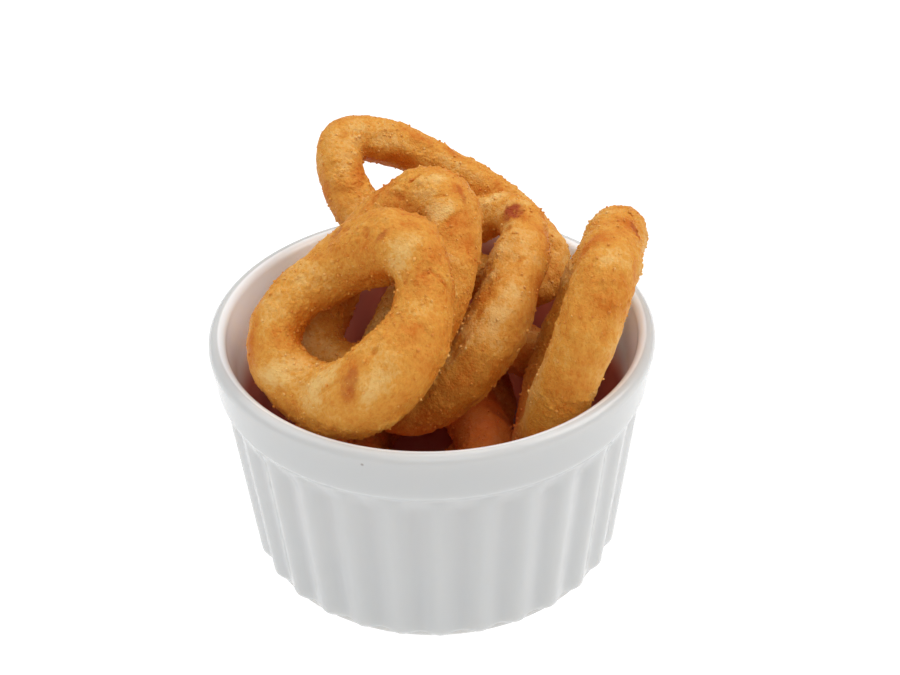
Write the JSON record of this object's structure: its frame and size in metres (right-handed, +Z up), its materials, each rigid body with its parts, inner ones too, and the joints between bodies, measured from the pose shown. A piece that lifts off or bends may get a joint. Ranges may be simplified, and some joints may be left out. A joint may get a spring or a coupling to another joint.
{
  "type": "onion ring",
  "caption": "crumbed and fried onion rings heaped in a round white ribbed ramekin",
  "frame": {"origin": "centre of the underside of the ramekin, at the level of the surface it stands on", "axes": "+Z up the axis of the ramekin; -Y towards the viewer of the picture; +X to the viewer right"},
  "size_m": [0.095, 0.095, 0.0858],
  "materials": {
    "porcelain": "white gloss glaze",
    "ring_front_crust": "golden fried crumb crust, matte, stands in for food",
    "ring_second_crust": "golden fried crumb crust, matte, stands in for food",
    "ring_third_crust": "golden fried crumb crust, matte, stands in for food",
    "ring_back_crust": "golden fried crumb crust, matte, stands in for food",
    "ring_right_crust": "golden fried crumb crust, matte, stands in for food",
    "ring_low_front_crust": "golden fried crumb crust, matte, stands in for food",
    "ring_floor_crust": "golden fried crumb crust, matte, stands in for food",
    "ring_low_back_crust": "golden fried crumb crust, matte, stands in for food",
    "ring_low_left_crust": "golden fried crumb crust, matte, stands in for food"
  },
  "bodies": {
    "root": {"ramekin": "porcelain", "ring_front": "ring_front_crust", "ring_second": "ring_second_crust", "ring_third": "ring_third_crust", "ring_back": "ring_back_crust", "ring_right": "ring_right_crust", "ring_low_front": "ring_low_front_crust", "ring_floor": "ring_floor_crust", "ring_low_back": "ring_low_back_crust", "ring_low_left": "ring_low_left_crust"}
  },
  "joints": []
}
